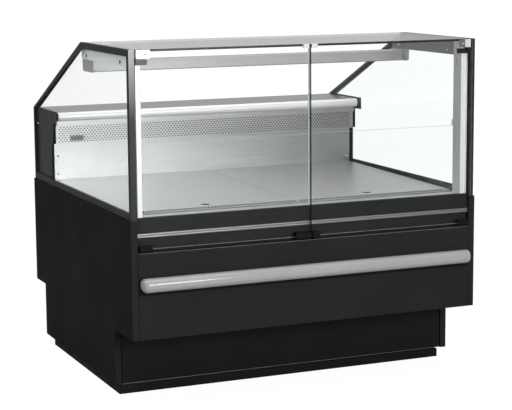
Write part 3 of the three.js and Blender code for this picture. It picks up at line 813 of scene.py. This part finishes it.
def side_unit(side, sign):
    """A double-glazed side: two panes on a sealed spacer. The outer pane is printed black on its
    inner face, round the window and over the ends of the worktop, the grille and the rear wall.
    From inside, the print shows a grey that is partly its paler back and partly painted sheen,
    and the sealant shows the same grey as painted sheen."""
    low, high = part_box(f"side_glass_{side}")
    near, far = sorted((abs(low.x), abs(high.x)))
    inner_pane, print_face = near + 0.006, far - 0.009
    shoulder = FRONT + 1.197, 0.943
    outline = [
        (low.y, low.z), (shoulder[0], low.z), shoulder, (ROOF_BACK, high.z), (low.y, high.z),
    ]
    frame_front, sill, head = FRONT + 0.052, 0.677, 1.211
    over_nose, over_grille, over_wall = FRONT + 0.899, FRONT + 0.954, FRONT + 0.975
    wall_top, grille_top, nose_top = 0.8165, 0.8975, 0.9465
    window = [
        (frame_front, sill), (over_wall, sill), (over_wall, wall_top), (over_grille, wall_top),
        (over_grille, grille_top), (over_nose, grille_top), (over_nose, nose_top),
        (FRONT + 1.127, nose_top), (FRONT + 0.54, head), (frame_front, head),
    ]
    spacer = [
        (low.y + 0.010, low.z + 0.010), (shoulder[0] - 0.010, low.z + 0.010),
        (shoulder[0] - 0.010, shoulder[1] - 0.007), (ROOF_BACK - 0.007, high.z - 0.010),
        (low.y + 0.010, high.z - 0.010),
    ]

    def on_side(u, v, level):
        return (sign * level, u, v)

    def inward(face):
        return face.normal.x * sign < -0.9

    def layer(name, holes, start, end, *finishes, **options):
        sheet(f"side_{name}_{side}", CASE, outline, holes, start, end, on_side, *finishes,
              slot="insulated_glass", **options)

    layer("pane_inner", [], near, inner_pane, UNIT_INNER, stands_for=[f"side_glass_{side}"])
    layer("pane_outer", [], print_face + 0.0003, far, UNIT)
    layer("print", [window], print_face, print_face + 0.0002, PRINT, PRINT_BACK_AND_PAINTED_SHEEN, second=inward)
    edge_seal = [
        (FRONT + 0.029, 0.6795), (shoulder[0] - 0.014, 0.6795), (shoulder[0] - 0.014, 0.937),
        (ROOF_BACK - 0.007, 1.2135), (FRONT + 0.029, 1.2135),
    ]
    layer("edge_seal", [edge_seal], print_face + 0.0004, far - 0.0004, PRINT)
    # The sealant's inward faces take the same grey, as painted sheen.
    layer("sealant", [spacer], inner_pane, print_face, RUBBER, PRINT_BACK_AND_PAINTED_SHEEN, second=inward)
    for part, start, end, proud, finish in (
        ("inner", near, near + 0.0072, 0.0004, EDGE), ("outer", far - 0.0088, far, 0.0004, EDGE),
        ("spacer", near + 0.0074, far - 0.009, 0.0002, SPACER),
    ):
        # The left unit's front edges all take the painted sheen; the right unit's keep their own finishes.
        block(f"side_{part}_edge_{side}", CASE, (sign * start, low.y - proud, low.z),
              (sign * end, low.y, high.z), EDGE_PAINTED_SHEEN if sign < 0 else finish)


for side, sign in SIDES.items():
    side_unit(side, sign)
screws("side_unit_studs", CASE, [
    ((sign * abs(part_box("side_glass_left")[0].x), FRONT + 1.129, 0.884), (sign, 0, 0), 0.0045)
    for sign in SIDES.values()
])


def corner_post(side, sign):
    """An upright with soft corners, a shelf catch behind it, a flange in front, and three slots
    for shelf clips."""
    low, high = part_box(f"corner_post_{side}")
    x_in, x_out = sorted((abs(low.x), abs(high.x)))
    front, back = low.y, FRONT + 0.078
    bm = bmesh.new()
    plate(bm, rounded(x_in, front, x_out, back, 0.002), [], low.z, high.z,
          lambda u, v, level: (sign * u, v, level))
    cuboid(bm, (sign * x_in, back, 0.912), (sign * (x_in + 0.009), FRONT + 0.086, 0.934))
    # Side faces take the painted-shade copy, all other faces the painted-light one.
    finished(f"post_profile_{side}", bm, CASE, UPRIGHT, UPRIGHT_PAINTED_SHADE_SIDE,
             stands_for=[f"corner_post_{side}"], slot="aluminium",
             second=lambda face: abs(face.normal.x) > 0.9)
    block(f"post_flange_{side}", CASE,
          (sign * (x_out - 0.0005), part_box("side_glass_left")[0].y + 0.008, low.z),
          (sign * x_out, front - 0.0002, high.z), CHROME_PAINTED_REFLECTION)
    bm = bmesh.new()
    for z in (1.137, 1.147, 1.157):
        slot = rounded(front + 0.0305, z, front + 0.0355, z + 0.0065, 0.0018)
        plate(bm, slot, [], x_in - 0.0002, x_in + 0.001,
              lambda u, v, level: (sign * level, u, v))
    finished(f"post_slots_{side}", bm, CASE, NYLON)


for side, sign in SIDES.items():
    corner_post(side, sign)
    # The left rail takes the painted-light copy of the rail aluminium.
    softened(f"side_rail_{side}", RAIL_PAINTED_LIGHT if sign < 0 else RAIL, 0.0012)
rail_face, rail_back = (c.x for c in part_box("side_rail_right"))
rail_fixings = [(sign, FRONT + y, 1.186) for sign in SIDES.values() for y in (0.153, 0.534)]
screws("rail_screws", CASE, [
    ((sign * rail_face, y, z), (-sign, 0, 0), 0.0052) for sign, y, z in rail_fixings
])
bm = bmesh.new()
for sign, y, z in rail_fixings:
    turned(bm, [(0, -0.0002), (0.0075, -0.0002), (0.0075, 0.0004), (0, 0.0004)],
           (sign * rail_back, y, z), (sign, 0, 0))
finished("rail_rivets", bm, CASE, MATT_BLACK)


# The top pane, and its front edge, which shows dark.
low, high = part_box("roof_glass")
edge = low.y + 0.0012
block("roof_pane", CASE, (low.x, edge, low.z), high, ROOF, stands_for=["roof_glass"],
      slot="pale_top")
block("roof_front_edge", CASE, low, (high.x, edge, high.z), EDGE, soft=0.0004)
softened("lamp_housing", LAMP_SHELL, 0.001)
softened("lamp_diffuser", DIFFUSER, 0.0006)
for side in SIDES:
    softened(f"lamp_end_{side}", LAMP_SHELL, 0.0008)


# ---------- front doors ----------

def glazing(name, body, outline, front, back, node, meeting_edge, bottom_edge, level_edge):
    """A toughened pane: clear faces, and ground edges that show as lines."""
    arris = 0.0007
    sheet(name, body, outline, [], front, back, across_y, CLEAR, stands_for=[node],
          slot="clear_glass")
    low_side = min(v for _, v in outline)
    for label, wanted, finish in (
        ("meeting", lambda n, u, v: abs(n.x) > 0.9 and abs(u) < 0.01, meeting_edge),
        ("bottom", lambda n, u, v: n.z < -0.9 and v == low_side, bottom_edge),
        ("level", lambda n, u, v: abs(n.z) > 0.9 and v != low_side, level_edge),
    ):
        strip = bmesh.new()
        for (u0, v0), (u1, v1) in zip(outline, outline[1:] + outline[:1]):
            normal = Vector((v1 - v0, 0, u0 - u1)).normalized()
            if not wanted(normal, u0, v0):
                continue
            skin(strip, [
                [
                    strip.verts.new(
                        Vector((u0 + (u1 - u0) * t, y, v0 + (v1 - v0) * t)) + normal * out
                    )
                    for y, t in rectangle(front + arris, 0.0, back - arris, 1.0)
                ]
                for out in (0.0001, -0.0005)
            ])
        if strip.verts:
            finished(f"{name}_{label}_edges", strip, body, finish, slot="clear_glass")


def door(side, sign):
    """A front pane notched for its clamps, the clamps, grip and clip, and a strip by its meeting edge: a pale
    painted highlight on the left, a dark seal on the right.
    """
    low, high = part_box(f"door_{side}_glass")
    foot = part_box(f"door_{side}_foot_clamp")
    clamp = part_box(f"door_{side}_top_clamp")
    meet, edge = sorted((abs(low.x), abs(high.x)))
    cut, notch = meet + 0.626, 1.187
    outline = [
        (meet, low.z), (cut, low.z), (cut, foot[1].z + 0.0003), (edge, foot[1].z + 0.0003),
        (edge, notch), (cut, notch), (cut, high.z), (meet, high.z),
    ]
    if sign < 0:
        outline = [(-u, v) for u, v in reversed(outline)]
    body = f"door_{side}"
    # The pane's bottom edges take the painted highlight.
    glazing(f"door_pane_{side}", body, outline, low.y, high.y, f"door_{side}_glass",
            EDGE, EDGE_PAINTED_HIGHLIGHT, EDGE)
    split = edge - 0.023
    for part, u0, u1, finish, stands_for in (
        ("block", split, edge, CHROME_PAINTED_REFLECTION, [f"door_{side}_top_clamp"]),
        ("plate", min(abs(c.x) for c in clamp), split - 0.0004, POLISHED, []),
    ):
        block(f"door_{side}_clamp_{part}", body, (sign * u0, clamp[0].y, clamp[0].z),
              (sign * u1, clamp[1].y, clamp[1].z), finish, soft=0.0012, segments=3,
              stands_for=stands_for, slot=slot_of_node(f"door_{side}_top_clamp"))
    softened(f"door_{side}_foot_clamp", MATT_BLACK, 0.0009, 3)
    softened(f"door_{side}_grip", MATT_BLACK, 0.0008, 3)
    softened(f"door_{side}_clip", CHROME_PAINTED_REFLECTION, 0.0006)
    screw_at = sign * (edge - 0.031), clamp[0].y, (clamp[0].z + clamp[1].z) / 2
    screws(f"door_{side}_clamp_screws", body, [(screw_at, (0, -1, 0), 0.0042)])
    if sign < 0:
        # A pale strip just inside the meeting edge: painted highlight.
        block("door_painted_highlight_strip", body, (-meet - 0.0048, low.y - 0.0005, BAND_TOP + 0.007),
              (-meet - 0.0032, high.y + 0.0005, high.z), EDGE_PAINTED_LIGHT)
    else:
        block("door_dark_seal", body, (meet - 0.0006, low.y - 0.0005, low.z),
              (meet + 0.0006, high.y + 0.0005, high.z), MATT_BLACK)


for side, sign in SIDES.items():
    door(side, sign)
    # The left hinge bracket takes grey key rubber as painted light; the right one keeps black nylon.
    softened(f"hinge_bracket_{side}", KEY if sign < 0 else NYLON, 0.001)

low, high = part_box("inner_glass")
# The inner pane's top edge takes the painted highlight.
glazing("inner_pane", CASE, rectangle(low.x, low.z, high.x, high.z), low.y, high.y,
        "inner_glass", EDGE, EDGE, EDGE_PAINTED_HIGHLIGHT)


# ---------- refrigeration ----------

def fin_block(node, pitch, motor_deep, tube_rows, motor_x, motor_z, radius):
    """A coil: thin fins on copper tubes, with end plates, and the fan's motor on four stays in
    front of it."""
    low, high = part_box(node)
    front = low.y + motor_deep
    bm = bmesh.new()
    x = low.x + 0.004
    while x < high.x - 0.004:
        cuboid(bm, (x, front, low.z + 0.002), (x + 0.0005, high.y - 0.001, high.z - 0.002))
        x += pitch
    for x in (low.x, high.x - 0.0015):
        cuboid(bm, (x, front - 0.001, low.z), (x + 0.0015, high.y, high.z))
    finished(f"{node}_fins", bm, CASE, FIN, stands_for=[node], slot="fin_metal")
    bm = bmesh.new()
    rise = (high.z - low.z) / (tube_rows + 1)
    deep = (high.y - front) / 3
    for row in range(tube_rows):
        z = low.z + rise * (row + 1)
        for column in (1, 2):
            y = front + deep * column
            pipe(bm, [(low.x + 0.001, y, z), (high.x - 0.001, y, z)], 0.004)
    finished(f"{node}_tubes", bm, CASE, COPPER)
    bm = bmesh.new()
    turned(bm, [
        (0, 0), (radius * 0.55, 0), (radius * 0.6, 0.004), (radius * 0.95, 0.006),
        (radius, 0.010), (radius, front - low.y), (0, front - low.y),
    ], (motor_x, low.y, motor_z), (0, 1, 0), sides=32)
    reach = radius * 2.4
    for k in range(4):
        t = math.radians(45 + 90 * k)
        pipe(bm, [
            (motor_x, low.y + 0.016, motor_z),
            (motor_x + reach * math.cos(t), front - 0.002, motor_z + reach * math.sin(t)),
        ], 0.0016, 6)
    finished(f"{node}_fan_motor", bm, CASE, NYLON)


def fan(node, blades):
    """A moulded axial fan: a hub and swept, twisted blades."""
    low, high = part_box(node)
    joint = next(j for j in frame["joints"] if j["child"] == node)
    x, _, z = joint["pos_m"]
    tip = (high.z - low.z) / 2
    hub = tip * 0.29
    deep = high.y - low.y
    bm = bmesh.new()
    turned(bm, [
        (0, 0), (hub * 0.7, 0.0), (hub * 0.95, 0.002), (hub, 0.005), (hub, deep), (0, deep),
    ], (x, low.y, z), (0, 1, 0), sides=32)
    for blade in range(blades):
        start = 2 * math.pi * blade / blades
        rings = []
        for step in range(7):
            share = step / 6
            reach = hub * 0.96 + (tip * 0.985 - hub * 0.96) * share
            middle = start + 0.35 * share
            half_width = 0.42 - 0.1 * share
            pitch = (0.36 - 0.1 * share) * deep
            ring = []
            for along, side in ((-1, 1), (0, 1), (1, 1), (1, -1), (0, -1), (-1, -1)):
                t = middle + along * half_width
                y = low.y + deep * 0.5 + along * pitch + side * 0.0009
                ring.append(bm.verts.new((x + reach * math.cos(t), y, z + reach * math.sin(t))))
            rings.append(ring)
        skin(bm, rings)
    finished(f"{node}_wheel", bm, node, FAN, stands_for=[node], slot="fan_plastic")


fin_block("condenser", 0.0032, 0.040, 8, -0.39, 0.152, 0.030)
fin_block("evaporator", 0.0055, 0.038, 5, 0.0, 0.420, 0.024)
fan("condenser_fan", 5)
fan("evaporator_fan", 5)


def compressor():
    """A welded steel shell on a foot plate with rubber mounts, a terminal cover and a stub."""
    low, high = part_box("compressor")
    x, y = 0.06, FRONT + 0.82
    shell = [
        (0, 0.012), (0.062, 0.012), (0.078, 0.022), (0.086, 0.042), (0.088, 0.084),
        (0.0885, 0.086), (0.0905, 0.086), (0.0905, 0.092), (0.0875, 0.092), (0.087, 0.094),
        (0.085, 0.130), (0.080, 0.155), (0.070, 0.172), (0.055, 0.183), (0.03, 0.189),
        (0, 0.19),
    ]
    bm = bmesh.new()
    turned(bm, shell, (x, y, low.z - 0.0006), (0, 0, 1), sides=56)
    finished("compressor_shell", bm, CASE, ENAMEL, stands_for=["compressor"],
             slot="compressor_black")
    bolts = [(x + a * 0.088, y + b * 0.055) for a in (-1, 1) for b in (-1, 1)]
    sheet("compressor_feet", CASE, rounded(low.x, y - 0.075, x + 0.11, y + 0.075, 0.018),
          [circle(*bolt, 0.006, 16) for bolt in bolts], low.z + 0.009, low.z + 0.012,
          lambda u, v, level: (u, v, level), ENAMEL)
    bm = bmesh.new()
    for bolt in bolts:
        turned(bm, [
            (0, 0), (0.012, 0), (0.013, 0.003), (0.010, 0.006), (0.012, 0.009), (0, 0.009),
        ], (*bolt, low.z), (0, 0, 1), sides=20)
    finished("compressor_mounts", bm, CASE, RUBBER)
    block("compressor_terminal_cover", CASE, (high.x - 0.032, y - 0.025, 0.110),
          (high.x, y + 0.025, 0.170), NYLON, soft=0.004, segments=3)
    bm = bmesh.new()
    pipe(bm, [
        (x - 0.07, y - 0.03, low.z + 0.11), (x - 0.09, y - 0.035, low.z + 0.112),
        (x - 0.097, y - 0.037, low.z + 0.12), (x - 0.098, y - 0.037, low.z + 0.17),
    ], 0.004)
    finished("compressor_stub", bm, CASE, COPPER)


compressor()


# ---------- operator's controls ----------

def controls():
    """The control panel with its display window, two rocker switches and two keys."""
    low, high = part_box("control_panel")
    softened("control_panel", GLOSS_BLACK, 0.0007)
    x0, x1, z0, z1 = low.x + 0.012, low.x + 0.082, low.z + 0.016, low.z + 0.052
    window = rounded(x0 + 0.0004, z0 + 0.0004, x1 - 0.0004, z1 - 0.0004, 0.001)
    sheet("display_pane", CASE, window, [], high.y - 0.0016, high.y - 0.0006, across_y, DISPLAY)
    for node in ("power_switch", "light_switch"):
        softened(node, NYLON, 0.0007, 3)
    for node in ("button_up", "button_down"):
        softened(node, KEY, 0.0009, 3)


controls()


def gland():
    """A cable gland: hexagon against the panel, and a ribbed dome nut with its bore open."""
    low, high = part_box("cable_gland")
    x, z = (low.x + high.x) / 2, (low.z + high.z) / 2
    across = (high.x - low.x) / 2
    bm = bmesh.new()
    turned(bm, [
        (0, 0), (across * 0.94, 0), (across, 0.0006), (across, 0.0068), (across * 0.92, 0.0077),
        (0, 0.0077),
    ], (x, low.y, z), (0, 1, 0), sides=6)
    turned(bm, [
        (0.0052, 0.0077), (0.0088, 0.0077), (0.009, 0.009), (0.009, 0.0145), (0.008, 0.0175),
        (0.0062, 0.0192), (0.0052, 0.0192), (0.0052, 0.0077),
    ], (x, low.y, z), (0, 1, 0), sides=32)
    finished("gland_nut", bm, CASE, NYLON, stands_for=["cable_gland"], slot="hinge_black")


gland()


# ---------- camera, floor and light ----------

CAMERA_AT = Vector((-2.4237, -5.7047, 1.5669))
YAW, PITCH, ROLL = (math.radians(a) for a in (23.34, 9.02, -0.44))
FOCAL_LENGTH = 113.555

forward = Vector((
    math.sin(YAW) * math.cos(PITCH), math.cos(YAW) * math.cos(PITCH), -math.sin(PITCH),
))
level = Vector((math.cos(YAW), -math.sin(YAW), 0))
upward = level.cross(forward)
right = math.cos(ROLL) * level + math.sin(ROLL) * upward
up = -math.sin(ROLL) * level + math.cos(ROLL) * upward
camera = bpy.data.objects.new("camera", bpy.data.cameras.new("camera"))
camera.matrix_world = Matrix.Translation(CAMERA_AT) @ Matrix(
    (right, up, -forward),
).transposed().to_4x4()
camera.data.sensor_width = 36
camera.data.lens = FOCAL_LENGTH
camera.data.clip_end = 100
scene.collection.objects.link(camera)
scene.camera = camera


def softbox(name, at, aim, width, height, power):
    light = bpy.data.lights.new(name, "AREA")
    light.shape = "RECTANGLE"
    light.size, light.size_y = width, height
    light.energy = power
    holder = bpy.data.objects.new(name, light)
    holder.location = at
    holder.rotation_mode = "QUATERNION"
    holder.rotation_quaternion = (Vector(aim) - Vector(at)).to_track_quat("-Z", "Y")
    scene.collection.objects.link(holder)


softbox("front", (0.3, -5.0, 1.7), (0, 0, 0.8), 2.1, 1.5, 108)
softbox("top", (0.2, 0.3, 3.7), (0, 0, 0.9), 3.0, 3.0, 34)
softbox("left_fill", (-1.5, -1.4, 2.9), (-0.4, 0.2, 0.8), 1.2, 1.2, 14)
softbox("rear", (-2.6, 4.0, 3.4), (0, 0.3, 0.6), 1.8, 1.8, 45)
softbox("left_kicker", (-2.1, -0.3, 1.75), (-0.66, -0.2, 1.25), 0.5, 0.5, 9)


def studio_floor():
    """A pale floor that reads as white and takes a faint contact shadow."""
    made = bpy.data.materials.new("studio_floor")
    made.use_nodes = True
    nodes, links = made.node_tree.nodes, made.node_tree.links
    paper = nodes["Principled BSDF"]
    paper.inputs["Base Color"].default_value = (0.5, 0.5, 0.5, 1)
    paper.inputs["Roughness"].default_value = 0.9
    paper.inputs["Specular IOR Level"].default_value = 0.0
    glow = nodes.new("ShaderNodeEmission")
    glow.inputs["Strength"].default_value = 1.17
    mix = nodes.new("ShaderNodeMixShader")
    seen = nodes.new("ShaderNodeLightPath")
    share = nodes.new("ShaderNodeMath")
    share.operation = "MULTIPLY"
    share.inputs[1].default_value = 0.82
    links.new(seen.outputs["Is Camera Ray"], share.inputs[0])
    links.new(share.outputs["Value"], mix.inputs["Fac"])
    links.new(paper.outputs["BSDF"], mix.inputs[1])
    links.new(glow.outputs["Emission"], mix.inputs[2])
    links.new(mix.outputs["Shader"], nodes["Material Output"].inputs["Surface"])
    bm = bmesh.new()
    cuboid(bm, (-9, -12, -0.01), (9, 3, 0))
    mesh = bpy.data.meshes.new("floor")
    bm.to_mesh(mesh)
    bm.free()
    mesh.materials.append(made)
    floor = bpy.data.objects.new("floor", mesh)
    scene.collection.objects.link(floor)


studio_floor()

world = bpy.data.worlds.new("studio")
world.use_nodes = True
scene.world = world
tree = world.node_tree
links = tree.links


def over(value, low, high, first, last):
    """A step of the studio's brightness: first up to low, last from high on."""
    span = tree.nodes.new("ShaderNodeMapRange")
    for socket, number in (
        ("From Min", low), ("From Max", high), ("To Min", first), ("To Max", last),
    ):
        span.inputs[socket].default_value = number
    links.new(value, span.inputs["Value"])
    return span.outputs["Result"]


def combined(operation, first, second):
    node = tree.nodes.new("ShaderNodeMath")
    node.operation = operation
    links.new(first, node.inputs[0])
    links.new(second, node.inputs[1])
    return node.outputs["Value"]


aim = tree.nodes.new("ShaderNodeTexCoord")
parts = tree.nodes.new("ShaderNodeSeparateXYZ")
links.new(aim.outputs["Generated"], parts.inputs["Vector"])
walls = combined(
    "ADD", over(parts.outputs["Y"], -1.0, 0.3, 0.12, 0.48),
    over(parts.outputs["Z"], 0.1, 0.9, 0.0, 0.22),
)
studio = combined("MULTIPLY", walls, over(parts.outputs["X"], -0.9, 0.1, 0.2, 1.0))
backdrop = tree.nodes["Background"]
backdrop.inputs["Color"].default_value = (1, 1, 1, 1)
links.new(studio, backdrop.inputs["Strength"])
white = tree.nodes.new("ShaderNodeBackground")
white.inputs["Color"].default_value = (1, 1, 1, 1)
white.inputs["Strength"].default_value = 1.05
choice = tree.nodes.new("ShaderNodeMixShader")
path = tree.nodes.new("ShaderNodeLightPath")
links.new(path.outputs["Is Camera Ray"], choice.inputs["Fac"])
links.new(backdrop.outputs["Background"], choice.inputs[1])
links.new(white.outputs["Background"], choice.inputs[2])
links.new(choice.outputs["Shader"], tree.nodes["World Output"].inputs["Surface"])

scene.view_settings.view_transform = "Standard"
